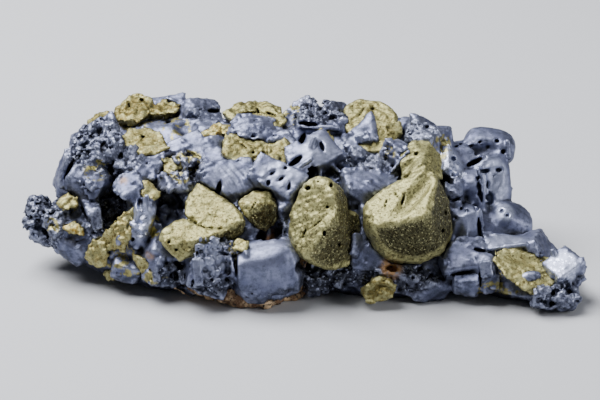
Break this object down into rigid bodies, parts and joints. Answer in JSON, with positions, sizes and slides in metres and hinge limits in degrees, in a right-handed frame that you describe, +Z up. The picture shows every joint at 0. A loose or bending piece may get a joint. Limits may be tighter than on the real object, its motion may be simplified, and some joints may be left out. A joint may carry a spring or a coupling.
{
  "type": "chalcopyrite and galena mineral specimen",
  "caption": "Loose mineral specimen: grainy, brassy chalcopyrite crystals on a lumpy, etched blue-grey galena mass with a thin rim of tan host rock, resting on its flat underside.",
  "frame": {"origin": "centre of the bounding box, at the underside the specimen rests on", "axes": "+X along the length towards the low arm, +Y away from the face with the big crystals, +Z up"},
  "size_m": [0.15, 0.06, 0.0419],
  "materials": {
    "galena": "etched, dull metallic",
    "chalcopyrite": "matte, grainy, brassy",
    "host_rock": "rough, iron stained"
  },
  "bodies": {
    "root": {"galena_mass": "galena", "rock_rim": "host_rock", "chalcopyrite_big_right": "chalcopyrite", "chalcopyrite_big_centre": "chalcopyrite", "chalcopyrite_left_pair": "chalcopyrite", "chalcopyrite_heart": "chalcopyrite", "chalcopyrite_upper_pair": "chalcopyrite", "chalcopyrite_top_right": "chalcopyrite", "chalcopyrite_top_bead": "chalcopyrite", "chalcopyrite_right_bead": "chalcopyrite", "chalcopyrite_back_dome": "chalcopyrite", "chalcopyrite_back_strip": "chalcopyrite", "chalcopyrite_top_left": "chalcopyrite", "chalcopyrite_upper_plate": "chalcopyrite", "chalcopyrite_small_wedge": "chalcopyrite", "chalcopyrite_left_speckled": "chalcopyrite", "chalcopyrite_left_yellow": "chalcopyrite", "chalcopyrite_left_crust": "chalcopyrite", "chalcopyrite_middle_left": "chalcopyrite", "chalcopyrite_low_bead": "chalcopyrite", "chalcopyrite_curved_plate": "chalcopyrite", "chalcopyrite_front_chip": "chalcopyrite", "chalcopyrite_low_centre": "chalcopyrite", "chalcopyrite_arm_plate": "chalcopyrite"}
  },
  "joints": []
}
